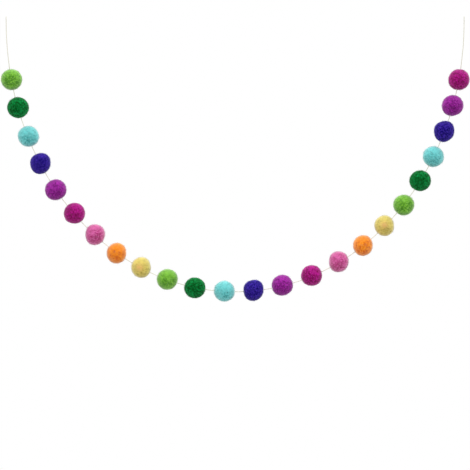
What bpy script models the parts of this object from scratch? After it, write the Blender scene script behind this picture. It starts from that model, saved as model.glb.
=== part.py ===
"""A felt ball garland hanging in its swag: wool felt balls threaded on one thin string.

Metres, with +Z up. The swag hangs in the XZ plane and is faced along +Y. The string's two cut ends
are level, and the origin is midway between them.
"""

import math
import random
from collections import namedtuple

import bmesh
import bpy
import numpy as np
from mathutils import Matrix, Vector

MM = 0.001

# The string hangs in half an ellipse, with a short straight end above each side of it.
HALF_SPAN = 266.3 * MM
DROP = 314.0 * MM
CUT_END = 6.0 * MM
SWAG_STEPS = 4001

STRING_RADIUS = 0.5 * MM
STRING_BEVEL_RESOLUTION = 2
FREE_END_POINTS = 9
# The string leaves a ball straight, and bends this far outside the felt.
BEND_OUTSIDE = 1.0 * MM

# The needle's hole, and how deep its mouth is drawn into the felt.
HOLE_RADIUS = 0.85 * MM
DIMPLE = 0.5 * MM
SEGMENTS = 20
RINGS = 12

# Hand-rolled lumps: how many a ball has, their height in mm, and how wide they spread.
LUMPS = 7
LUMP_HEIGHT = 0.12
LUMP_SPREAD = 0.09
LUMP_SEED = 2400

FELT_ROUGHNESS = 0.95
STRING_COLOUR = "#D9D5C6"
STRING_ROUGHNESS = 0.8
SMOOTH_BELOW = math.radians(50)

# Each felt colour with its ball's outline seen from the front: the mean radius, then the height of an
# oval, a pear and a square form added to it, in mm, each with the angle of its bulge in degrees from
# +X towards +Z. The depth is how much the ball is thinner from front to back, in mm.
Felt = namedtuple("Felt", "colour radius oval oval_at pear pear_at square square_at depth")
FELTS = {
    "light_green": Felt("#65A438", 12.0, 0.1, 17, 0.1, 35, 0.0, 0, 0.1),
    "dark_green": Felt("#0D642B", 12.2, 0.2, 0, 0.0, 0, 0.0, 0, 0.3),
    "turquoise": Felt("#67BCBD", 12.0, 0.1, 154, 0.0, 0, 0.1, 69, 0.2),
    "blue": Felt("#2A1C81", 12.0, 0.4, 65, 0.2, 33, 0.2, 57, 0.4),
    "purple": Felt("#862586", 12.2, 0.2, 27, 0.1, 104, 0.1, 55, 0.2),
    "magenta": Felt("#931B6B", 12.1, 0.1, 27, 0.1, 83, 0.1, 40, 0.2),
    "pink": Felt("#C2578E", 11.7, 0.4, 86, 0.2, 6, 0.2, 44, -0.2),
    "orange": Felt("#EA832E", 11.6, 0.4, 82, 0.1, 51, 0.1, 57, -0.1),
    "yellow": Felt("#D5BC65", 11.6, 0.4, 94, 0.2, 60, 0.1, 57, -0.1),
}
FELT_ORDER = tuple(FELTS)

# Each ball from the left: the string since the ball before it, or since the cut end, and how far the
# ball's middle lies outside the string, in mm.
Ball = namedtuple("Ball", "after outside")
BALLS = (
    Ball(74.0, 0.0),
    Ball(33.5, 0.1),
    Ball(35.5, -0.6),
    Ball(34.5, -0.1),
    Ball(35.5, 0.4),
    Ball(35.0, -0.4),
    Ball(34.5, -0.4),
    Ball(33.0, 0.6),
    Ball(33.0, -0.2),
    Ball(33.5, 0.0),
    Ball(33.5, 0.7),
    Ball(34.5, 0.1),
    Ball(34.0, -0.4),
    Ball(34.0, -0.5),
    Ball(36.0, -0.5),
    Ball(35.5, -0.6),
    Ball(34.0, 0.0),
    Ball(34.0, -0.5),
    Ball(33.0, 0.6),
    Ball(34.0, 0.1),
    Ball(32.0, 0.0),
    Ball(32.0, -0.2),
    Ball(31.5, -0.2),
    Ball(31.0, 0.2),
)


def swag_lengths():
    """Angles round the half ellipse, and the string's length from its left cut end to each."""
    angles = np.linspace(math.pi, 2 * math.pi, SWAG_STEPS)
    steps = np.hypot(
        np.diff(HALF_SPAN * np.cos(angles)),
        np.diff(DROP * np.sin(angles)),
    )
    return angles, CUT_END + np.concatenate([[0.0], np.cumsum(steps)])


ANGLES, LENGTHS = swag_lengths()
STRING_LENGTH = LENGTHS[-1] + CUT_END


def swag_at(length):
    """The point of the swag at a length of string from the left cut end, and the way it runs there."""
    angle = float(np.interp(length, LENGTHS, ANGLES))
    point = Vector((HALF_SPAN * math.cos(angle), 0, DROP * math.sin(angle) - CUT_END))
    run = Vector((-HALF_SPAN * math.sin(angle), 0, DROP * math.cos(angle))).normalized()
    # Above the half ellipse the cut ends stand straight up.
    point.z += max(0, CUT_END - length, length - LENGTHS[-1])
    return point, run


def along_string(run):
    """The turn about Y that takes a ball's own +Z along the string, and its own +X out of the swag."""
    return Matrix.Rotation(math.atan2(run.x, run.z), 4, "Y")


def rolled_lumps(number):
    """The directions and heights of one ball's lumps."""
    dice = random.Random(LUMP_SEED + number)
    lumps = []
    for _ in range(LUMPS):
        way = Vector([dice.gauss(0, 1) for _ in range(3)]).normalized()
        lumps.append((way, dice.uniform(-LUMP_HEIGHT, LUMP_HEIGHT)))
    return lumps


def felt_reach(felt, lumps, way):
    """How far a ball's felt reaches from its middle along a unit direction."""
    across = math.hypot(way.x, way.z)
    angle = math.atan2(way.z, way.x)
    reach = felt.radius - felt.depth * way.y**2
    for bulges, height, at in (
        (2, felt.oval, felt.oval_at),
        (3, felt.pear, felt.pear_at),
        (4, felt.square, felt.square_at),
    ):
        reach += height * across**bulges * math.cos(bulges * (angle - math.radians(at)))
    for lump, height in lumps:
        reach += height * math.exp((lump.dot(way) - 1) / LUMP_SPREAD)
    return reach * MM


def boundary_loops(bm):
    """The open edges at a ball's upper and lower pole."""
    edges = [edge for edge in bm.edges if edge.is_boundary]
    upper = [edge for edge in edges if edge.verts[0].co.z > 0]
    lower = [edge for edge in edges if edge.verts[0].co.z < 0]
    return upper, lower


def ball_mesh(name, felt, lumps, turn, outside):
    """A lumpy ball round its own middle, with the needle's hole along its own Z axis.

    turn takes the ball's own directions to the swag's, where its outline is known. outside is how far
    its middle lies outside the string, so the hole runs that far to its own -X.
    """
    bm = bmesh.new()
    bmesh.ops.create_uvsphere(bm, u_segments=SEGMENTS, v_segments=RINGS, radius=1.0)
    poles = [v for v in bm.verts if abs(v.co.z) > 0.9999]
    bmesh.ops.delete(bm, geom=poles, context="VERTS")
    for v in bm.verts:
        way = v.co.normalized()
        v.co = way * felt_reach(felt, lumps, turn @ way)

    mouths = []
    for side, loop in zip((1, -1), boundary_loops(bm)):
        pole = Vector((0, 0, side))
        height = felt_reach(felt, lumps, turn @ pole) - DIMPLE
        made = bmesh.ops.extrude_edge_only(bm, edges=loop)["geom"]
        for v in made:
            if isinstance(v, bmesh.types.BMVert):
                angle = math.atan2(v.co.y, v.co.x)
                v.co.x = HOLE_RADIUS * math.cos(angle) - outside
                v.co.y = HOLE_RADIUS * math.sin(angle)
                v.co.z = side * height
        mouths += [e for e in made if isinstance(e, bmesh.types.BMEdge) and e.is_boundary]
    bmesh.ops.bridge_loops(bm, edges=mouths)
    bmesh.ops.recalc_face_normals(bm, faces=bm.faces)

    mesh = bpy.data.meshes.new(name)
    bm.to_mesh(mesh)
    bm.free()
    mesh.shade_smooth()
    mesh.set_sharp_from_angle(angle=SMOOTH_BELOW)
    return mesh


def linear(hex_colour):
    """An sRGB colour as linear red, green, blue and alpha."""
    channels = [int(hex_colour[i : i + 2], 16) / 255 for i in (1, 3, 5)]
    return [c / 12.92 if c <= 0.04045 else ((c + 0.055) / 1.055) ** 2.4 for c in channels] + [1.0]


def material(name, hex_colour, roughness):
    made = bpy.data.materials.new(name)
    made.use_nodes = True
    shader = made.node_tree.nodes["Principled BSDF"]
    shader.inputs["Base Color"].default_value = linear(hex_colour)
    shader.inputs["Roughness"].default_value = roughness
    shader.inputs["Metallic"].default_value = 0.0
    return made


def add_object(name, data, parent, finish):
    made = bpy.data.objects.new(name, data)
    data.materials.append(finish)
    bpy.context.collection.objects.link(made)
    made.parent = parent
    return made


def add_balls(parent):
    """Every ball on its place, and the ends of its straight stretch of string."""
    finishes = {
        name: material(f"{name}_felt", felt.colour, FELT_ROUGHNESS)
        for name, felt in FELTS.items()
    }
    threaded = []
    length = 0.0
    for number, ball in enumerate(BALLS, start=1):
        length += ball.after * MM
        felt_name = FELT_ORDER[(number - 1) % len(FELT_ORDER)]
        felt = FELTS[felt_name]
        point, run = swag_at(length)
        turn = along_string(run)
        outside = ball.outside * MM
        name = f"ball_{number:02d}"
        mesh = ball_mesh(name, felt, rolled_lumps(number), turn.to_3x3(), outside)
        made = add_object(name, mesh, parent, finishes[felt_name])
        made.location = point + turn.to_3x3() @ Vector((outside, 0, 0))
        made.rotation_euler = turn.to_euler()
        half = felt.radius * MM + BEND_OUTSIDE
        threaded.append((point - run * half, point + run * half))
    return threaded


def string_route(threaded):
    """Down one free end on the swag's curve, straight through each ball, and up the other end."""
    first = BALLS[0].after * MM
    last = sum(ball.after for ball in BALLS) * MM
    ball_half = BEND_OUTSIDE + max(felt.radius for felt in FELTS.values()) * MM
    left = np.linspace(0.0, first - ball_half, FREE_END_POINTS, endpoint=False)
    right = np.linspace(STRING_LENGTH, last + ball_half, FREE_END_POINTS, endpoint=False)
    route = [swag_at(length)[0] for length in left]
    for before, after in threaded:
        route += [before, after]
    route += [swag_at(length)[0] for length in reversed(right)]
    return route


def add_string(parent, threaded):
    """One round string from cut end to cut end."""
    route = string_route(threaded)
    curve = bpy.data.curves.new("string", "CURVE")
    curve.dimensions = "3D"
    curve.bevel_depth = STRING_RADIUS
    curve.bevel_resolution = STRING_BEVEL_RESOLUTION
    curve.use_fill_caps = True
    spline = curve.splines.new("POLY")
    spline.points.add(len(route) - 1)
    for spot, place in zip(spline.points, route):
        spot.co = (*place, 1.0)
    finish = material("string_yarn", STRING_COLOUR, STRING_ROUGHNESS)
    return add_object("string", curve, parent, finish)


def main():
    for old in list(bpy.data.objects):
        bpy.data.objects.remove(old, do_unlink=True)
    swag = bpy.data.objects.new("swag", None)
    bpy.context.collection.objects.link(swag)
    threaded = add_balls(swag)
    add_string(swag, threaded)


main()
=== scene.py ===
# A felt ball garland: wool felt balls threaded on one thin twisted string, hung in a deep swag.
import math
import random

import bpy
import numpy as np
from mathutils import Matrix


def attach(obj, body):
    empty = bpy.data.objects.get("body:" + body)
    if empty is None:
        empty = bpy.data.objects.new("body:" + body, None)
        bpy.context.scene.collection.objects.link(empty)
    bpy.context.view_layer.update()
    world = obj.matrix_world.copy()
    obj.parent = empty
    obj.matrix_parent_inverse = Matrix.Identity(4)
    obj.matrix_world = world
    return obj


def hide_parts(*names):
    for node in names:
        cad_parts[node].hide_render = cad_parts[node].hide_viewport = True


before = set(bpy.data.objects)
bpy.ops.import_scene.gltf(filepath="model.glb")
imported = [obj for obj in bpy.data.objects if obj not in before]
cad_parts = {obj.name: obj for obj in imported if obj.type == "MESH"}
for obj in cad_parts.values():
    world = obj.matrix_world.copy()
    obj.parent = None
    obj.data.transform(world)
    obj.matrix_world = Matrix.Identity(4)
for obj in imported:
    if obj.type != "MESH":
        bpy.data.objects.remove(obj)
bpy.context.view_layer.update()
mm = 0.001

# The photograph's own frame, which the camera repeats.
photo = {
    "pixels": 470,           # each side of the square picture
    "mmPerPixel": 1.163,     # from balls of 25 mm with their fuzz
    "middleColumn": 235.13,  # the swag's middle
    "cutEndRow": 16.3,       # the string's two ends
}
cameraSettings = {"lensMm": 100.0, "sensorMm": 36.0}

# The string hangs in half an ellipse, with a short straight end above each side of it.
swag = {
    "halfSpan": 266.3 * mm,
    "drop": 314.0 * mm,
    "cutEnd": 6.0 * mm,
    "steps": 4001,  # points that the half ellipse is measured over
}

# Each felt: its colour and how it takes the light, then its ball's outline. Bloom is the weight of
# its sheen, matted is how strongly the mat of fibres and its painted shade show, and hollow is the
# gain of its colour in a hollow, where shade is painted in. The outline is as seen from the front,
# in
# mm: an oval, a pear and a square form are added to the radius, each with its bulge's angle in
# degrees from +X towards +Z, and the depth is how much thinner the ball is from front to back. A
# blush is a patch where wool of another shade was laid on, with its middle and reach in mm.
felts = {
    "lightGreen": dict(
        slot="light_green_felt", colour="#72B234", bloom=0.8, matted=1.08, hollow=0.62,
        radius=12.0, oval=(0.1, 17), pear=(0.1, 35), square=(0.0, 0), depth=0.1),
    "darkGreen": dict(
        slot="dark_green_felt", colour="#047732", bloom=0.18, matted=3.2, hollow=0.64,
        radius=12.2, oval=(0.2, 0), pear=(0.0, 0), square=(0.0, 0), depth=0.3),
    "turquoise": dict(
        slot="turquoise_felt", colour="#66C2C2", bloom=1.0, matted=0.35, hollow=0.64,
        radius=12.0, oval=(0.1, 154), pear=(0.0, 0), square=(0.1, 69), depth=0.2),
    "blue": dict(
        slot="blue_felt", colour="#2F1A8E", bloom=0.22, matted=2.9, hollow=0.82,
        radius=12.0, oval=(0.4, 65), pear=(0.2, 33), square=(0.2, 57), depth=0.4),
    "purple": dict(
        slot="purple_felt", colour="#901F8F", bloom=0.45, matted=1.12, hollow=0.95,
        radius=12.2, oval=(0.2, 27), pear=(0.1, 104), square=(0.1, 55), depth=0.2),
    "magenta": dict(
        slot="magenta_felt", colour="#A20F7A", bloom=0.42, matted=1.75, hollow=0.75,
        radius=12.1, oval=(0.1, 27), pear=(0.1, 83), square=(0.1, 40), depth=0.2),
    "pink": dict(
        slot="pink_felt", colour="#C85596", bloom=1.0, matted=1.02, hollow=0.7,
        radius=11.7, oval=(0.4, 86), pear=(0.2, 6), square=(0.2, 44), depth=-0.2),
    "orange": dict(
        slot="orange_felt", colour="#EA881B", bloom=1.0, matted=0.6, hollow=0.7,
        radius=11.6, oval=(0.4, 82), pear=(0.1, 51), square=(0.1, 57), depth=-0.1),
    "yellow": dict(
        slot="yellow_felt", colour="#D2C161", bloom=1.0, matted=0.44, hollow=0.68,
        radius=11.6, oval=(0.4, 94), pear=(0.2, 60), square=(0.1, 57), depth=-0.1,
        blush=dict(colour="#DCA868", across=-1.0, up=0.2, reach=4.4, share=0.75)),
}

# What shows on the front of each felt's balls, in mm and degrees: how far across and up from the
# middle a mark lies, its half length and half width, the angle that it runs at, and its depth. A
# hollow has a depth above zero and is painted deeper in colour, as shade, and a raised wisp has one
# below zero and is painted paler. The marks with a half length of 4 mm or more are painted light and
# shade: paler near the top and darker in and below the middle, as light from above gives, except on
# yellow, where both are darker.
feltMarks = {
    "lightGreen": [
        (-4.3, -5.6, 1.5, 0.9, 20, 0.95), (3.8, -5.9, 1.5, 0.9, -10, 0.95),
        (1.4, -3.0, 1.0, 0.7, 60, 0.44), (-4.2, 1.0, 0.9, 0.7, 80, 0.42),
        (7.4, -3.2, 1.0, 0.7, 60, 0.46), (-1.2, -6.6, 1.4, 0.6, 0, 0.36),
        (5.0, 0.4, 0.8, 0.6, 40, 0.34), (0.0, -1.5, 4.5, 3.0, 0, 0.14),
        (0.0, 8.0, 6.0, 2.2, 0, -0.12),
    ],
    "darkGreen": [
        (-3.5, -1.5, 1.2, 0.9, 30, 0.42), (4.6, 0.6, 1.2, 0.9, 0, 0.34),
        (0.8, -4.4, 2.6, 0.8, 10, 0.30), (0.4, -0.4, 4.6, 3.4, 0, 0.24),
        (-6.0, -4.6, 3.4, 0.5, -52, -0.24), (-3.6, -7.4, 3.2, 0.5, -28, -0.22),
        (5.2, -5.8, 3.0, 0.5, 40, -0.20), (-5.0, 5.0, 3.2, 0.5, 45, -0.18),
        (1.0, 8.0, 4.0, 1.2, 0, -0.16),
    ],
    "turquoise": [
        (-0.8, -4.4, 1.1, 0.7, 80, 0.72), (1.8, -7.4, 1.4, 0.7, 10, 0.72),
        (6.2, -2.0, 2.8, 0.5, 70, 0.40), (3.6, -3.0, 3.2, 0.5, 80, 0.32),
        (1.2, -1.2, 3.2, 0.5, 92, 0.30), (-3.0, -3.6, 2.2, 0.6, 112, 0.28),
        (-5.6, -2.6, 2.2, 0.6, 125, 0.20), (0.8, -4.0, 5.0, 3.4, 0, 0.14),
        (-1.0, 7.0, 6.0, 3.0, 0, -0.12),
    ],
    "blue": [
        (-2.8, 4.8, 1.4, 0.8, 20, 0.30), (0.6, -1.0, 5.4, 4.0, 0, 0.22),
        (0.0, 8.4, 4.0, 0.7, 0, -0.34), (7.8, -4.4, 3.4, 0.6, 62, -0.28),
        (-7.0, -5.0, 3.2, 0.6, -58, -0.24), (4.6, 5.4, 2.6, 0.6, -40, -0.24),
        (-6.4, 3.6, 2.4, 0.6, 60, -0.18),
    ],
    "purple": [
        (2.5, -5.6, 2.4, 1.0, -20, 0.32), (-1.6, -4.8, 3.0, 1.0, 10, 0.22),
        (5.0, -3.4, 3.0, 0.6, 36, 0.28), (0.8, -1.2, 3.0, 0.6, 38, 0.20),
        (0.0, -3.4, 6.4, 2.8, 0, 0.16), (1.4, 7.6, 4.4, 1.8, 10, -0.18),
        (-6.0, 2.6, 2.0, 2.0, 0, -0.14),
    ],
    "magenta": [
        (-0.6, -3.2, 6.8, 3.4, 0, 0.22), (-5.4, -5.6, 2.0, 0.9, -30, 0.16),
        (4.6, -5.8, 2.0, 0.9, 30, 0.16), (-9.0, 2.0, 0.9, 2.4, 0, 0.30),
        (7.4, 0.2, 1.2, 3.8, 0, -0.18), (1.0, 6.4, 5.0, 2.0, 0, -0.16),
    ],
    "pink": [
        (2.8, 0.4, 1.3, 0.6, 20, 0.36), (-2.0, -7.5, 1.6, 0.7, -15, 0.72),
        (1.4, -6.5, 1.0, 0.7, 30, 0.62), (4.9, -6.0, 1.1, 0.7, 40, 0.56),
        (-4.6, -1.6, 1.1, 0.7, 60, 0.22), (1.0, -2.6, 4.4, 3.0, 0, 0.10),
        (-6.0, 4.4, 0.8, 0.6, 0, 0.26), (1.8, 3.4, 0.9, 0.6, 30, 0.22),
        (-0.4, 5.4, 4.4, 2.4, 0, -0.16),
    ],
    "orange": [
        (5.2, 0.4, 1.0, 2.4, 0, 0.20), (1.5, -6.2, 3.0, 1.0, 0, 0.30),
        (-6.4, 5.2, 0.9, 0.7, 0, 0.40), (-4.6, -3.6, 1.4, 0.7, 30, 0.22),
        (-3.0, 3.4, 4.0, 2.8, 20, -0.16), (2.4, -2.4, 2.6, 0.7, -20, -0.12),
    ],
    "yellow": [
        (3.0, -4.2, 2.0, 1.0, -30, 0.36), (0.9, -7.8, 3.6, 1.0, 0, 0.42),
        (-3.6, -4.4, 1.6, 0.8, 30, 0.22), (0.0, -3.4, 5.4, 2.8, 0, 0.08),
        (0.0, 8.6, 7.0, 3.0, 0, 0.16),
    ],
}

# Each ball from the left: the string since the ball before it, or since the cut end, and how far
# the ball's middle lies outside the string, in mm.
threading = (
    (74.0, 0.0), (33.5, 0.1), (35.5, -0.6), (34.5, -0.1), (35.5, 0.4), (35.0, -0.4),
    (34.5, -0.4), (33.0, 0.6), (33.0, -0.2), (33.5, 0.0), (33.5, 0.7), (34.5, 0.1),
    (34.0, -0.4), (34.0, -0.5), (36.0, -0.5), (35.5, -0.6), (34.0, 0.0), (34.0, -0.5),
    (33.0, 0.6), (34.0, 0.1), (32.0, 0.0), (32.0, -0.2), (31.5, -0.2), (31.0, 0.2),
)


def linearColour(hexColour, gain=1.0):
    # sRGB hex to linear red, green and blue, times a gain, with an alpha of one.
    channels = np.array([int(hexColour[i:i + 2], 16) / 255 for i in (1, 3, 5)])
    linear = np.where(channels <= 0.04045, channels / 12.92, ((channels + 0.055) / 1.055) ** 2.4)
    return (*np.clip(linear * gain, 0, 1), 1.0)


def woolTone(hexColour, depth, gain=1.0):
    # Each linear channel to a power, then times a gain. A power above 1 gives the deeper colour of
    # painted shade in a hollow, and one below 1 a paler one, as of thin, pale wool.
    channels = np.array(linearColour(hexColour)[:3])
    return (*np.minimum(1.0, gain * channels ** depth), 1.0)


def unit(vectors):
    return vectors / np.linalg.norm(vectors, axis=-1, keepdims=True)


def addNode(tree, kind, settings=None, links=None):
    # One node, with values for its sockets or its own options, and its incoming links.
    node = tree.nodes.new(kind)
    for name, value in (settings or {}).items():
        if isinstance(name, int) or name in node.inputs:
            node.inputs[name].default_value = value
        else:
            setattr(node, name, value)
    for name, source in (links or {}).items():
        tree.links.new(source, node.inputs[name])
    return node


def newMaterial(name):
    made = bpy.data.materials.new(name)
    made.use_nodes = True
    made.node_tree.nodes.clear()
    return made, made.node_tree


def buildMesh(name, points, faceSets, material, values=None, corners=None):
    # Points in metres and arrays of quads or triangles, with a value a point and a UV a corner.
    mesh = bpy.data.meshes.new(name)
    mesh.vertices.add(len(points))
    mesh.vertices.foreach_set("co", points.astype(np.float32).ravel())
    indices = np.concatenate([faces.ravel() for faces in faceSets]).astype(np.int32)
    sizes = np.concatenate([np.full(len(faces), faces.shape[1]) for faces in faceSets])
    starts = np.concatenate([[0], np.cumsum(sizes)[:-1]]).astype(np.int32)
    mesh.loops.add(len(indices))
    mesh.loops.foreach_set("vertex_index", indices)
    mesh.polygons.add(len(sizes))
    mesh.polygons.foreach_set("loop_start", starts)
    for key, array in (values or {}).items():
        attribute = mesh.attributes.new(key, "FLOAT", "POINT")
        attribute.data.foreach_set("value", array.astype(np.float32).ravel())
    if corners is not None:
        layer = mesh.uv_layers.new(name="OFBake")
        layer.data.foreach_set("uv", corners.astype(np.float32).ravel())
    mesh.update(calc_edges=True)
    mesh.shade_smooth()
    mesh.materials.append(material)
    made = bpy.data.objects.new(name, mesh)
    bpy.context.collection.objects.link(made)
    return made


def gridFaces(rings, around, wrapRings):
    # Quads of a grid that closes round each ring, and from the last ring to the first if it wraps.
    ring, spot = np.meshgrid(np.arange(rings if wrapRings else rings - 1), np.arange(around),
                             indexing="ij")
    nextRing, nextSpot = (ring + 1) % rings, (spot + 1) % around
    quads = [ring * around + spot, nextRing * around + spot,
             nextRing * around + nextSpot, ring * around + nextSpot]
    return np.stack([q.ravel() for q in quads], axis=1)


# Camera: square on to the swag, with a long lens.
def addCamera():
    # Distance = width of the view x lens / sensor, with the view's width from the pixels' size.
    pixel = photo["mmPerPixel"] * mm
    data = bpy.data.cameras.new("camera")
    data.lens = cameraSettings["lensMm"]
    data.sensor_width = cameraSettings["sensorMm"]
    made = bpy.data.objects.new("camera", data)
    away = photo["pixels"] * pixel * cameraSettings["lensMm"] / cameraSettings["sensorMm"]
    made.location = (
        (photo["pixels"] / 2 - photo["middleColumn"]) * pixel,
        -away,
        -(photo["pixels"] / 2 - photo["cutEndRow"]) * pixel,
    )
    made.rotation_euler = (math.pi / 2, 0, 0)
    bpy.context.collection.objects.link(made)
    bpy.context.scene.camera = made


addCamera()
print("camera: square on, at the photograph's scale")


# Swag: the string's line, and the balls' places along it.
swagAngles = np.linspace(math.pi, 2 * math.pi, swag["steps"])
swagLengths = swag["cutEnd"] + np.concatenate([[0], np.cumsum(np.hypot(
    np.diff(swag["halfSpan"] * np.cos(swagAngles)),
    np.diff(swag["drop"] * np.sin(swagAngles))))])
stringLength = swagLengths[-1] + swag["cutEnd"]


def swagAt(lengths):
    # Points on the half ellipse by length of string, and the unit way that the string runs there.
    angles = np.interp(lengths, swagLengths, swagAngles)
    rise = np.maximum(0, np.maximum(swag["cutEnd"] - lengths, lengths - swagLengths[-1]))
    flat = np.zeros_like(angles)
    points = np.stack([swag["halfSpan"] * np.cos(angles), flat,
                       swag["drop"] * np.sin(angles) - swag["cutEnd"] + rise], axis=-1)
    runs = unit(np.stack([-swag["halfSpan"] * np.sin(angles), flat,
                          swag["drop"] * np.cos(angles)], axis=-1))
    return points, runs


ballLengths = np.cumsum([after for after, _ in threading]) * mm
ballOutsides = np.array([outside for _, outside in threading]) * mm
ballSpots, ballRuns = swagAt(ballLengths)
depthWay = np.array([0.0, 1.0, 0.0])
outWays = np.cross(depthWay, ballRuns)  # out of the swag, square to the string
ballMiddles = ballSpots + outWays * ballOutsides[:, None]
feltNames = [list(felts)[i % len(felts)] for i in range(len(threading))]

# String: pale cotton, three plies twisted together, cut bare at both ends.
stringSettings = {
    "diameter": 1.0 * mm,
    "bendOutside": 1.0 * mm,  # it leaves a ball straight, and bends this far outside the felt
    "freeEndPoints": 9,
    "step": 0.45 * mm,        # between rings
    "sides": 15,
    "plies": 3,
    "plyPitch": 4.2 * mm,     # one turn of the twist
    "groove": 0.24,           # depth between plies, as a share of the radius
    "crownPower": 0.8,        # below one, a ply's crown is broad and the groove narrow
    "bendRound": 3.0 * mm,    # a bend at a ball's mouth is rounded over this length
    "cutTaper": 1.0 * mm,     # a cut end narrows over this length
    "cutShare": 0.6,          # to this share of the radius
    "cutPower": 0.5,          # and below one, it narrows most near the cut
    "colour": "#E2DFCF",
    "grooveShadeGain": 0.8,        # painted shade: gain of the colour down in a groove
    "freeEndShadeGain": 0.84,         # painted shade: the free ends are made deeper than the runs between the balls
    "freeFade": 12.0 * mm,    # over this length before the first ball's middle
    "fibreMm": 0.35,          # spun cotton's fibres are far finer, and are drawn this coarse
    "fibreDetail": 3.0,
    "fibreRoughness": 0.6,
    "fibreShade": 0.5,        # how much the fibres change the tone of a ply
    "fibreHeight": 0.1 * mm,
    "bumpStrength": 0.3,
    "roughness": 0.85,
    "sheen": 0.2,
    "gloss": 0.25,
}


def cottonStringMaterial():
    # Spun cotton, twisted: matt and pale, with painted shade down in the grooves between its plies
    # and on its free ends.
    made, tree = newMaterial("spun_cotton_string")
    s = stringSettings
    place = addNode(tree, "ShaderNodeTexCoord")
    fibre = addNode(tree, "ShaderNodeTexNoise",
                    {"Scale": 1 / (s["fibreMm"] * mm), "Detail": s["fibreDetail"],
                     "Roughness": s["fibreRoughness"]},
                    {"Vector": place.outputs["Object"]})
    ply = addNode(tree, "ShaderNodeAttribute", {"attribute_name": "crown"})
    blend = addNode(tree, "ShaderNodeMath",
                    {"operation": "MULTIPLY_ADD", 1: s["fibreShade"], 2: -s["fibreShade"] / 2},
                    {0: fibre.outputs["Fac"]})
    height = addNode(tree, "ShaderNodeMath", {"operation": "ADD", "use_clamp": True},
                     {0: ply.outputs["Fac"], 1: blend.outputs[0]})
    # Painted shade: the colour is deeper down in the grooves between the plies.
    colour = addNode(tree, "ShaderNodeMix",
                     {"data_type": "RGBA", 6: linearColour(s["colour"], s["grooveShadeGain"]),
                      7: linearColour(s["colour"])},
                     {0: height.outputs[0]})
    # Painted shade on the string's free ends.
    free = addNode(tree, "ShaderNodeAttribute", {"attribute_name": "free"})
    shaded = addNode(tree, "ShaderNodeMix",
                     {"data_type": "RGBA", "blend_type": "MULTIPLY",
                      7: (*[s["freeEndShadeGain"]] * 3, 1.0)},
                     {0: free.outputs["Fac"], 6: colour.outputs[2]})
    bump = addNode(tree, "ShaderNodeBump",
                   {"Strength": s["bumpStrength"], "Distance": s["fibreHeight"]},
                   {"Height": fibre.outputs["Fac"]})
    shader = addNode(tree, "ShaderNodeBsdfPrincipled",
                     {"Roughness": s["roughness"], "Sheen Weight": s["sheen"],
                      "Specular IOR Level": s["gloss"]},
                     {"Base Color": shaded.outputs[2], "Normal": bump.outputs["Normal"]})
    addNode(tree, "ShaderNodeOutputMaterial", links={"Surface": shader.outputs["BSDF"]})
    return made


def stringLine():
    # Down a free end on the swag's curve, straight through each ball, and up the other end. The
    # corners are then rounded by a running mean over a short length.
    s = stringSettings
    widest = max(felt["radius"] for felt in felts.values()) * mm + s["bendOutside"]
    left = np.linspace(0, ballLengths[0] - widest, s["freeEndPoints"], endpoint=False)
    right = np.linspace(stringLength, ballLengths[-1] + widest, s["freeEndPoints"],
                        endpoint=False)[::-1]
    halves = np.array([felts[name]["radius"] * mm + s["bendOutside"] for name in feltNames])
    reach = ballRuns * halves[:, None]
    through = np.stack([ballSpots - reach, ballSpots + reach], axis=1).reshape(-1, 3)
    route = np.concatenate([swagAt(left)[0], through, swagAt(right)[0]])
    along = np.concatenate([[0], np.cumsum(np.linalg.norm(np.diff(route, axis=0), axis=1))])
    count = int(along[-1] / s["step"]) + 1
    even = np.linspace(0, along[-1], count)
    line = np.stack([np.interp(even, along, route[:, k]) for k in range(3)], axis=1)
    width = 2 * int(s["bendRound"] / s["step"] / 2) + 1
    padded = np.concatenate([np.repeat(line[:1], width // 2, axis=0), line,
                             np.repeat(line[-1:], width // 2, axis=0)])
    kernel = np.ones(width) / width
    smooth = np.stack([np.convolve(padded[:, k], kernel, mode="valid") for k in range(3)], axis=1)
    smooth[0], smooth[-1] = line[0], line[-1]
    return smooth


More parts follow.
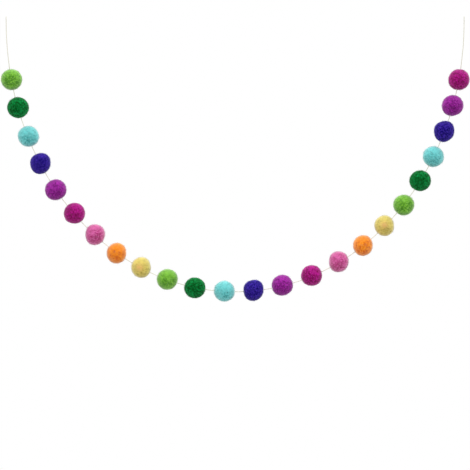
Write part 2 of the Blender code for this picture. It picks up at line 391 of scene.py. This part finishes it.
def addString():
    # A lobed profile carried along the line, and turned once in each pitch of the twist. A crown is
    # one at the top of a ply and zero in a groove: |cos(plies x angle / 2)| to a power.
    s = stringSettings
    line = stringLine()
    tangents = unit(np.gradient(line, axis=0))
    sideways = unit(np.cross(depthWay, tangents))
    along = np.concatenate([[0], np.cumsum(np.linalg.norm(np.diff(line, axis=0), axis=1))])
    turn = np.linspace(0, 2 * math.pi, s["sides"], endpoint=False)
    lobe = turn[None, :] - 2 * math.pi * along[:, None] / s["plyPitch"]
    crown = np.abs(np.cos(s["plies"] * lobe / 2)) ** s["crownPower"]
    fromEnd = np.minimum(along, along[-1] - along)
    nearCut = np.clip(fromEnd / s["cutTaper"], 0, 1) ** s["cutPower"]
    taper = s["cutShare"] + (1 - s["cutShare"]) * nearCut
    radius = s["diameter"] / 2 * (1 - s["groove"] * (1 - crown)) * taper[:, None]
    ringPoints = (line[:, None]
                  + radius[..., None] * (np.cos(turn)[None, :, None] * sideways[:, None]
                                         + np.sin(turn)[None, :, None] * depthWay))
    rings = len(line)
    points = np.concatenate([ringPoints.reshape(-1, 3), line[[0, -1]]])
    sides = gridFaces(rings, s["sides"], False)
    spot = np.arange(s["sides"])
    after = (spot + 1) % s["sides"]
    top, last = rings * s["sides"], (rings - 1) * s["sides"]
    startCap = np.stack([np.full_like(spot, top), spot, after], axis=1)
    endCap = np.stack([np.full_like(spot, top + 1), last + after, last + spot], axis=1)
    # Painted shade mask: one on the free ends, fading out towards the balls.
    free = np.clip((ballLengths[0] - fromEnd) / s["freeFade"], 0, 1)
    values = {"crown": np.concatenate([crown.ravel(), [0.5, 0.5]]),  # and two cut ends' middles
              "free": np.concatenate([np.repeat(free, s["sides"]), [1.0, 1.0]])}
    made = buildMesh("twisted_string", points, [sides[:, ::-1], startCap[:, ::-1], endCap[:, ::-1]],
                     cottonStringMaterial(), values)
    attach(made, "root")
    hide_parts("string")
    return made, line


twistedString, stringPath = addString()
print(f"string: {len(stringPath)} rings, {stringLength:.3f} m from cut end to cut end")

# Felt balls: wool rolled wet into firm balls. The lumps repeat the solid's.
ballSettings = {
    "around": 112,
    "rings": 80,
    "meanRadius": 12.0,        # mm, for the sizes of marks and fibres on all the felts
    "holeRadius": 0.62 * mm,   # the felt closes on the string
    "slidePower": 6,           # how near the mouths the rings slide over to the string
    "dimple": 0.7 * mm,        # how far the needle draws the mouth in
    "dimpleWidth": 1.6 * mm,
    "lumps": 7,
    "lumpHeight": 0.12,        # mm
    "lumpSpread": 0.09,        # 1 - cos of the angle that a lump reaches over
    "lumpSeed": 2400,
    "ridges": 80,              # arcs of matted wool across the surface
    "ridgeLevel": 0.85,        # the farthest that an arc's plane lies from the ball's middle
    "ridgeHeight": (-0.05, 0.07),  # mm, as are the heights, depths, widths and lengths below
    "ridgeWidth": (0.4, 0.75),
    "ridgeFade": 0.45,         # 1 - cos of the angle that an arc fades out over
    "pits": 120,               # small hollows between them
    "pitDepth": (0.08, 0.28),
    "pitWidth": (0.4, 0.75),
    "pitsSink": 0.9,           # more of them lie low, which puts more of their painted shade in the lower half
    "swells": 8,               # slow waves over the whole ball
    "swellHeight": 0.01,
    "swellLength": (3.5, 7.0),
    "markHeight": 0.31,        # relief for a mark's depth of one
    "markTurn": 8,             # degrees that a ball's front may be turned from the chart
    "markEdge": 0.35,          # a mark fades out where the surface has turned this near side-on
    "ownTone": 0.5,            # where the felt shows its own colour
    "tone": 4.0,               # change of tone for a mm of relief: painted shade in hollows, paler on raised wool
    "toneReach": 0.42,         # the most that the relief alone can change it
    "calmTop": 0.75,           # how much less the mat shows at the top, and more below: painted light, as light from above washes out the top
    "reliefSeed": 610,
}


def rolledLumps(number):
    # The solid's own lumps: seeded directions with a height each, in mm.
    dice = random.Random(ballSettings["lumpSeed"] + number)
    ways, heights = [], []
    for _ in range(ballSettings["lumps"]):
        ways.append([dice.gauss(0, 1) for _ in range(3)])
        heights.append(dice.uniform(-ballSettings["lumpHeight"], ballSettings["lumpHeight"]))
    return unit(np.array(ways)), np.array(heights)


def feltReach(felt, lumps, ways):
    # Radius in mm along unit ways: radius - depth y^2 + height rho^n cos n(angle - at) for the
    # oval, pear and square forms, plus a round bump for each lump.
    across = np.hypot(ways[..., 0], ways[..., 2])
    angle = np.arctan2(ways[..., 2], ways[..., 0])
    reach = felt["radius"] - felt["depth"] * ways[..., 1] ** 2
    for bulges, form in ((2, "oval"), (3, "pear"), (4, "square")):
        height, at = felt[form]
        reach = reach + height * across ** bulges * np.cos(bulges * (angle - math.radians(at)))
    bumps = np.exp((ways @ lumps[0].T - 1) / ballSettings["lumpSpread"])
    return reach + bumps @ lumps[1]


def feltRelief(number):
    # The matted surface of one ball. Height in mm = arcs of wool along small circles + slow
    # swells - pits - the charted marks. The back has the same marks, turned at random.
    s = ballSettings
    marks = np.array(feltMarks[feltNames[number]])
    dice = np.random.default_rng(s["reliefSeed"] + number)
    axes = unit(dice.normal(size=(s["ridges"], 3)))
    levels = dice.uniform(-s["ridgeLevel"], s["ridgeLevel"], s["ridges"])
    middles = unit(dice.normal(size=(s["ridges"], 3)))
    heights = dice.uniform(*s["ridgeHeight"], s["ridges"])
    widths = dice.uniform(*s["ridgeWidth"], s["ridges"])
    pitWays = unit(dice.normal(size=(s["pits"], 3)) - np.array([0, 0, s["pitsSink"]]))
    pitDepths = dice.uniform(*s["pitDepth"], s["pits"])
    pitWidths = dice.uniform(*s["pitWidth"], s["pits"])
    swellWays = unit(dice.normal(size=(s["swells"], 3)))
    swellLengths = dice.uniform(*s["swellLength"], s["swells"])
    swellStarts = dice.uniform(0, 2 * math.pi, s["swells"])
    turns = np.radians([dice.uniform(-s["markTurn"], s["markTurn"]), dice.uniform(0, 360)])

    def charted(ways):
        # Sum of depth x exp(-(along / half length)^2 - (aside / half width)^2), which fades out
        # where the surface turns away to the side.
        total = np.zeros(ways.shape[:-1])
        for side, turn in zip((-1, 1), turns):
            facing = np.clip(side * ways[..., 1] / s["markEdge"], 0, 1)
            x, z = -side * s["meanRadius"] * ways[..., 0], s["meanRadius"] * ways[..., 2]
            across = (x * math.cos(turn) + z * math.sin(turn))[..., None] - marks[:, 0]
            upward = (z * math.cos(turn) - x * math.sin(turn))[..., None] - marks[:, 1]
            angle = np.radians(marks[:, 4])
            along = across * np.cos(angle) + upward * np.sin(angle)
            aside = upward * np.cos(angle) - across * np.sin(angle)
            spread = (along / marks[:, 2]) ** 2 + (aside / marks[:, 3]) ** 2
            total += facing * (np.exp(-spread) @ marks[:, 5])
        return total

    def relief(ways):
        gaps = s["meanRadius"] * (ways @ axes.T - levels) / np.sqrt(1 - levels ** 2)
        fade = np.exp(-((1 - ways @ middles.T) / s["ridgeFade"]) ** 2)
        ridges = (np.exp(-(gaps / widths) ** 2) * fade) @ heights
        apart = s["meanRadius"] * np.sqrt(np.maximum(0, 2 - 2 * ways @ pitWays.T))
        pits = np.exp(-(apart / pitWidths) ** 2) @ pitDepths
        waves = 2 * math.pi * s["meanRadius"] * (ways @ swellWays.T) / swellLengths
        swells = np.sin(waves + swellStarts).sum(axis=-1) * s["swellHeight"]
        return ridges + swells - pits - charted(ways) * s["markHeight"]

    return relief


# Their finish: the size of each pattern in the wool, and how much it changes the shade.
feltFinish = {
    "hollowShadeTone": 1.6,           # painted shade in hollows, as a power of the colour
    "paleTone": (0.85, 1.1),   # on the highest wisps, as a power of it and a gain: thin pale wool, partly painted highlight
    "cloudMm": 5.0,            # slow changes of shade
    "cloudDetail": 2.0,
    "cloudShade": 0.25,
    "warpMm": 2.2,             # bends the fibres' lines
    "warpDetail": 1.0,
    "warpReach": 1.6 * mm,
    "fibreMm": 1.55,           # real wool is 0.02 mm, too fine to show, so it is drawn this coarse
    "fibreDetail": 3.0,
    "fibreGain": 1.5,          # how much each finer layer follows the ridges of the one before it
    "fibreBend": 0.4,
    "fibreShade": 1.0,
    "fibreMiddle": 1.2,        # the noise's own middle, which leaves the felt's colour as it is
    "poreMm": 1.15,            # painted shade in the small gaps between the fibres, drawn coarser than they are
    "poreDetail": 2.0,
    "poreEdge": (0.55, 0.66),
    "poreShade": 0.4,
    "layerShare": 0.5,         # of each finer layer in the patterns
    "fibreHeight": 0.1 * mm,
    "bumpStrength": 0.6,
    "roughness": 0.95,
    "sheenRoughness": 0.45,    # broad, so that the bloom reaches in from the rim
    "sheenTone": 0.1,          # as a power of the colour, which is nearly white
}


def feltBallMaterial(name, felt):
    # Wool felt, wet rolled and fulled: quite matt, a mat of fine crossing fibres, with painted shade
    # that deepens its colour where it has drawn in and in the small gaps between its fibres, and a
    # soft pale bloom at its rim, strongest on pale wool.
    s = feltFinish
    made, tree = newMaterial(name)
    place = addNode(tree, "ShaderNodeTexCoord")
    tone = addNode(tree, "ShaderNodeAttribute", {"attribute_name": "tone"})
    mattingAndLight = addNode(tree, "ShaderNodeAttribute", {"attribute_name": "mattingAndLight"})
    cloud = addNode(tree, "ShaderNodeTexNoise",
                    {"Scale": 1 / (s["cloudMm"] * mm), "Detail": s["cloudDetail"],
                     "Roughness": s["layerShare"]},
                    {"Vector": place.outputs["Object"]})
    warp = addNode(tree, "ShaderNodeTexNoise",
                   {"Scale": 1 / (s["warpMm"] * mm), "Detail": s["warpDetail"]},
                   {"Vector": place.outputs["Object"]})
    bent = addNode(tree, "ShaderNodeVectorMath",
                   {"operation": "MULTIPLY_ADD", 1: (s["warpReach"],) * 3},
                   {0: warp.outputs["Color"], 2: place.outputs["Object"]})
    fibres = addNode(tree, "ShaderNodeTexNoise",
                     {"noise_type": "RIDGED_MULTIFRACTAL", "Scale": 1 / (s["fibreMm"] * mm),
                      "Detail": s["fibreDetail"], "Roughness": s["layerShare"], "Offset": 1.0,
                      "Gain": s["fibreGain"], "Distortion": s["fibreBend"]},
                     {"Vector": bent.outputs[0]})
    slow = addNode(tree, "ShaderNodeMath",
                   {"operation": "MULTIPLY_ADD", 1: s["cloudShade"], 2: -s["cloudShade"] / 2},
                   {0: cloud.outputs["Fac"]})
    fine = addNode(tree, "ShaderNodeMath",
                   {"operation": "MULTIPLY_ADD", 1: s["fibreShade"],
                    2: -s["fibreMiddle"] * s["fibreShade"]},
                   {0: fibres.outputs["Fac"]})
    # Painted shade in the gaps between the fibres: dark dots from a noise.
    gaps = addNode(tree, "ShaderNodeTexNoise",
                   {"Scale": 1 / (s["poreMm"] * mm), "Detail": s["poreDetail"],
                    "Roughness": s["layerShare"]},
                   {"Vector": place.outputs["Object"]})
    pores = addNode(tree, "ShaderNodeMapRange",
                    {"interpolation_type": "SMOOTHSTEP", 1: s["poreEdge"][0], 2: s["poreEdge"][1],
                     3: 0.0, 4: -s["poreShade"]},
                    {0: gaps.outputs["Fac"]})
    mat = addNode(tree, "ShaderNodeMath", {"operation": "ADD"},
                  {0: fine.outputs[0], 1: pores.outputs[0]})
    both = addNode(tree, "ShaderNodeMath", {"operation": "MULTIPLY_ADD"},
                   {0: mat.outputs[0], 1: mattingAndLight.outputs["Fac"], 2: slow.outputs[0]})
    shade = addNode(tree, "ShaderNodeMath", {"operation": "ADD", "use_clamp": True},
                    {0: both.outputs[0], 1: tone.outputs["Fac"]})
    ramp = addNode(tree, "ShaderNodeValToRGB", links={"Fac": shade.outputs[0]})
    # The ramp: painted shade at the hollow end, the felt's own colour in the middle, and paler,
    # partly painted highlight, at the raised end.
    stops = ramp.color_ramp.elements
    stops[0].position = 0.0
    stops[0].color = woolTone(felt["colour"], s["hollowShadeTone"], felt["hollow"])
    stops[1].position = 1.0
    stops[1].color = woolTone(felt["colour"], *s["paleTone"])
    stops.new(ballSettings["ownTone"]).color = linearColour(felt["colour"])
    colour = ramp.outputs["Color"]
    if "blush" in felt:
        patch = addNode(tree, "ShaderNodeAttribute", {"attribute_name": "blush"})
        laidOn = addNode(tree, "ShaderNodeMix",
                         {"data_type": "RGBA", 7: linearColour(felt["blush"]["colour"])},
                         {0: patch.outputs["Fac"], 6: colour})
        colour = laidOn.outputs[2]
    bump = addNode(tree, "ShaderNodeBump",
                   {"Strength": s["bumpStrength"], "Distance": s["fibreHeight"]},
                   {"Height": fibres.outputs["Fac"]})
    shader = addNode(tree, "ShaderNodeBsdfPrincipled",
                     {"Roughness": s["roughness"], "Specular IOR Level": 0.0,
                      "Sheen Weight": felt["bloom"], "Sheen Roughness": s["sheenRoughness"],
                      "Sheen Tint": woolTone(felt["colour"], s["sheenTone"])},
                     {"Base Color": colour, "Normal": bump.outputs["Normal"]})
    addNode(tree, "ShaderNodeOutputMaterial", links={"Surface": shader.outputs["BSDF"]})
    return made


def ballFrame(index):
    # A ball's own axes as rows: out of the swag, front to back, and along the string.
    return np.stack([outWays[index], depthWay, ballRuns[index]])


def addBall(index, material, relief):
    # Rings run from one mouth of the needle's hole over the felt to the other, and the grid wraps
    # back through the hole. Near the mouths the rings slide over to lie round the string.
    s = ballSettings
    felt = felts[feltNames[index]]
    mouth = math.asin(s["holeRadius"] / (felt["radius"] * mm))
    polar = np.linspace(mouth, math.pi - mouth, s["rings"])[:, None]
    turn = np.linspace(0, 2 * math.pi, s["around"], endpoint=False)[None, :]
    outside = ballOutsides[index]
    slide = -outside * np.cos(polar) ** s["slidePower"]
    sideX = felt["radius"] * mm * np.sin(polar) * np.cos(turn) + slide
    sideY = felt["radius"] * mm * np.sin(polar) * np.sin(turn)
    up = felt["radius"] * mm * np.cos(polar) * np.ones_like(turn)
    local = unit(np.stack([sideX, sideY, up], axis=-1))
    ways = local @ ballFrame(index)
    flatWays = ways.reshape(-1, 3)
    fine = relief(flatWays)
    reach = feltReach(felt, rolledLumps(index + 1), flatWays) * mm
    fromString = np.hypot(sideX + outside, sideY).ravel()
    calm = 1 - np.exp(-(fromString / s["dimpleWidth"]) ** 2)
    dip = s["dimple"] * (1 - calm)
    points = ballMiddles[index] + flatWays * (reach + fine * mm * calm - dip)[:, None]
    quads = gridFaces(s["rings"], s["around"], True)
    # Painted light: the mat's shading is made calmer at the top, where light from above falls, and
    # stronger below.
    mattingAndLight = felt["matted"] * (1 - s["calmTop"] * flatWays[:, 2])
    # Painted shade: hollows of the relief are made deeper in colour, and raised wool paler.
    paintedReliefShading = s["toneReach"] * np.tanh(fine * s["tone"] * mattingAndLight / s["toneReach"])
    values = {"tone": s["ownTone"] + paintedReliefShading, "mattingAndLight": mattingAndLight}
    if "blush" in felt:
        # A soft round patch on the front and one on the back, broken up by the relief.
        patch = felt["blush"]
        apart = np.hypot(felt["radius"] * flatWays[:, 0] - patch["across"],
                         felt["radius"] * flatWays[:, 2] - patch["up"])
        soft = np.exp(-(apart / patch["reach"]) ** 2) * np.abs(flatWays[:, 1])
        values["blush"] = np.clip(patch["share"] * soft * (1 + fine * s["tone"]), 0, 1)
    ring, spot = np.divmod(quads[:, 0], s["around"])
    u = np.stack([spot, spot, spot + 1, spot + 1], axis=1) / s["around"]
    v = np.stack([ring, ring + 1, ring + 1, ring], axis=1) / s["rings"]
    made = buildMesh(f"felt_ball_{index + 1:02d}", points, [quads], material,
                     values, np.stack([u, v], axis=-1).reshape(-1, 2))
    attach(made, "root")
    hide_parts(f"ball_{index + 1:02d}")
    return made


# Wool fuzz: loose fibres that lift off the felt. Long ones curl over it and many short ends stand
# up from it. They are drawn about three times as thick as wool.
fuzzSettings = {
    "veil": "#A0A0A0",           # the grey of the light that comes through it
    "veilShare": 0.5,            # for a bloom of one
    "roughness": 0.9,
    "seed": 90,
    "sunk": 0.15,                # where a fibre starts inside the felt, mm
    "risePower": 1.3,            # above one, a free end lies low first and then stands up
    "curled": {
        "fibres": 520,
        "segments": 5,
        "thickness": 0.065 * mm,
        "length": (2.5, 7.0),    # mm
        "lift": (0.10, 0.55),
        "freeShare": 0.35,       # of them end in the air
        "freeLift": (0.4, 1.7),
        "curl": (0.3, 1.0),      # the least is a tight curl, and one runs straight round the ball
        "wave": (0.1, 0.45),     # mm to each side
        "waves": (0.5, 1.4),     # in its length
    },
    "short": {
        "fibres": 1200,
        "segments": 2,
        "thickness": 0.06 * mm,
        "length": (0.7, 1.7),
        "lift": (0.1, 0.3),
        "freeShare": 1.0,
        "freeLift": (0.3, 1.1),
        "curl": (0.8, 1.0),
        "wave": (0.0, 0.1),
        "waves": (0.5, 1.0),
    },
}


def woolFuzzMaterial(name, felt):
    # Loose wool fibre: thin enough to let white light through, so it veils the felt with a soft
    # grey that gathers at the rim, where the most of it is in line.
    made, tree = newMaterial(name)
    s = fuzzSettings
    share = s["veilShare"] * felt["bloom"]
    veiled = [(1 - share) * wool + share * grey
              for wool, grey in zip(linearColour(felt["colour"]), linearColour(s["veil"]))]
    shader = addNode(tree, "ShaderNodeBsdfPrincipled",
                     {"Base Color": veiled, "Roughness": s["roughness"],
                      "Specular IOR Level": 0.0})
    addNode(tree, "ShaderNodeOutputMaterial", links={"Surface": shader.outputs["BSDF"]})
    return made


def fibreLines(kind, felt, dice, under):
    # Points along each fibre from the ball's middle, in mm, and the unit ways to them. A fibre's
    # foot is turned about an axis by length / circle radius, which is an arc of a small circle, and
    # waved to the sides by a sine. Its height is half a sine for a loop, and keeps rising for a free
    # end.
    count = kind["fibres"]
    foot = unit(dice.normal(size=(count, 3)))
    heading = unit(np.cross(foot, dice.normal(size=(count, 3))))
    curl = dice.uniform(*kind["curl"], count)[:, None]
    axis = unit(heading * curl + foot * np.sqrt(1 - curl ** 2))
    share = np.linspace(0, 1, kind["segments"] + 1)[None, :]
    length = dice.uniform(*kind["length"], count)[:, None]
    angle = (length / (felt["radius"] * curl) * share)[..., None]
    dot = (axis * foot).sum(axis=1)[:, None, None]
    ways = unit(foot[:, None] * np.cos(angle) + np.cross(axis, foot)[:, None] * np.sin(angle)
                + axis[:, None] * dot * (1 - np.cos(angle)))
    phase = dice.uniform(0, 2 * math.pi, count)[:, None]
    swing = np.sin(2 * math.pi * dice.uniform(*kind["waves"], count)[:, None] * share + phase)
    wave = dice.uniform(*kind["wave"], count)[:, None] * swing / felt["radius"]
    ways = unit(ways + wave[..., None] * unit(np.cross(np.gradient(ways, axis=1), ways)))
    sunk = fuzzSettings["sunk"]
    free = (dice.random(count) < kind["freeShare"])[:, None]
    loop = (sunk + dice.uniform(*kind["lift"], count)[:, None]) * np.sin(math.pi * share)
    rise = sunk + dice.uniform(*kind["freeLift"], count)[:, None]
    height = np.where(free, rise * share ** fuzzSettings["risePower"], loop) - sunk
    reach = under(ways.reshape(-1, 3)).reshape(height.shape) + height
    return ways * reach[..., None], ways


def fibreMesh(lines, ways, thickness):
    # A three-sided spindle along each line: a point at both ends and a ring at each spot between.
    count, spots = lines.shape[:2]
    run = unit(np.gradient(lines, axis=1))
    side = unit(np.cross(run, ways))
    up = np.cross(side, run)
    turn = np.array([0, 2, 4]) * math.pi / 3
    inner = slice(1, spots - 1)
    rings = (lines[:, inner, None]
             + thickness / 2 * (np.cos(turn)[:, None] * up[:, inner, None]
                                + np.sin(turn)[:, None] * side[:, inner, None]))
    points = np.concatenate([lines[:, :1], rings.reshape(count, -1, 3), lines[:, -1:]], axis=1)
    a, b = np.arange(3), (np.arange(3) + 1) % 3
    last = points.shape[1] - 1
    tips = np.concatenate([np.stack([np.zeros(3, int), 1 + b, 1 + a], axis=1),
                           np.stack([np.full(3, last), last - 3 + a, last - 3 + b], axis=1)])
    walls = np.stack([1 + a, 1 + b, 4 + b, 4 + a], axis=1)
    walls = (walls + 3 * np.arange(spots - 3)[:, None, None]).reshape(-1, 4)
    offset = (np.arange(count) * points.shape[1])[:, None, None]
    return points.reshape(-1, 3), (tips + offset).reshape(-1, 3), (walls + offset).reshape(-1, 4)


def addFuzz(index, material, relief):
    s = fuzzSettings
    felt = felts[feltNames[index]]
    lumps = rolledLumps(index + 1)
    dice = np.random.default_rng(s["seed"] + index)

    def under(ways):
        return feltReach(felt, lumps, ways) + relief(ways)

    points, tips, walls = [], [], []
    start = 0
    for kind in (s["curled"], s["short"]):
        lines, ways = fibreLines(kind, felt, dice, under)
        spots, tipFaces, wallFaces = fibreMesh(lines * mm, ways, kind["thickness"])
        points.append(ballMiddles[index] + spots)
        tips.append(tipFaces + start)
        walls.append(wallFaces + start)
        start += len(spots)
    made = buildMesh(f"wool_fuzz_{index + 1:02d}", np.concatenate(points),
                     [np.concatenate(tips), np.concatenate(walls)], material)
    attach(made, "root")
    return made


feltMaterials = {key: feltBallMaterial(f"wet_rolled_wool_felt_{key}", felt)
                 for key, felt in felts.items()}
fuzzMaterials = {key: woolFuzzMaterial(f"loose_wool_fibre_{key}", felt)
                 for key, felt in felts.items()}
for index, name in enumerate(feltNames):
    relief = feltRelief(index)
    addBall(index, feltMaterials[name], relief)
    addFuzz(index, fuzzMaterials[name], relief)

# Studio: a pale floor well below the swag, and light from all round a white room. It is strongest
# from above, then from the sides, weaker from below, and weakest from front and back.
studio = {
    "floorDrop": 0.8,        # m below the string's ends
    "floorRadius": 0.42,     # m, small enough to let light come up from below
    "floorSides": 96,
    "floorColour": "#BAB9B6",
    "floorRoughness": 0.9,
    "level": 1.25,           # strength of the light from the left and right
    "fromAbove": 0.62,       # added straight above, and taken away straight below
    "fromEnds": 0.56,        # added both straight above and straight below
    "lessInDepth": 0.45,     # taken away straight in front and behind
}


def addFloor():
    # A flat round disc: a fan of points at one radius.
    turn = np.linspace(0, 2 * math.pi, studio["floorSides"], endpoint=False)
    points = np.stack([studio["floorRadius"] * np.cos(turn), studio["floorRadius"] * np.sin(turn),
                       np.full_like(turn, -studio["floorDrop"])], axis=1)
    made, tree = newMaterial("matt_painted_floor")
    shader = addNode(tree, "ShaderNodeBsdfPrincipled",
                     {"Base Color": linearColour(studio["floorColour"]),
                      "Roughness": studio["floorRoughness"]})
    addNode(tree, "ShaderNodeOutputMaterial", links={"Surface": shader.outputs["BSDF"]})
    floor = buildMesh("floor", points, [np.arange(studio["floorSides"])[None, :]], made)


def addRoomLight():
    # Strength = level + up x (above + ends x up) - less x depth squared, by direction. The camera
    # sees plain white.
    world = bpy.data.worlds.new("white_room")
    bpy.context.scene.world = world
    world.use_nodes = True
    tree = world.node_tree
    tree.nodes.clear()
    way = addNode(tree, "ShaderNodeTexCoord")
    parts = addNode(tree, "ShaderNodeSeparateXYZ", links={0: way.outputs["Generated"]})
    slope = addNode(tree, "ShaderNodeMath",
                    {"operation": "MULTIPLY_ADD", 1: studio["fromEnds"], 2: studio["fromAbove"]},
                    {0: parts.outputs["Z"]})
    above = addNode(tree, "ShaderNodeMath", {"operation": "MULTIPLY_ADD", 2: studio["level"]},
                    {0: parts.outputs["Z"], 1: slope.outputs[0]})
    depth = addNode(tree, "ShaderNodeMath", {"operation": "MULTIPLY"},
                    {0: parts.outputs["Y"], 1: parts.outputs["Y"]})
    strength = addNode(tree, "ShaderNodeMath",
                       {"operation": "MULTIPLY_ADD", 1: -studio["lessInDepth"]},
                       {0: depth.outputs[0], 2: above.outputs[0]})
    room = addNode(tree, "ShaderNodeBackground", links={"Strength": strength.outputs[0]})
    white = addNode(tree, "ShaderNodeBackground")
    for node in (room, white):
        node.inputs["Color"].default_value = (1, 1, 1, 1)
    seen = addNode(tree, "ShaderNodeLightPath")
    mixed = addNode(tree, "ShaderNodeMixShader",
                    links={0: seen.outputs["Is Camera Ray"], 1: room.outputs[0],
                           2: white.outputs[0]})
    addNode(tree, "ShaderNodeOutputWorld", links={"Surface": mixed.outputs[0]})


addFloor()
addRoomLight()
bpy.context.scene.view_settings.view_transform = "Standard"
print("studio: floor and room light")
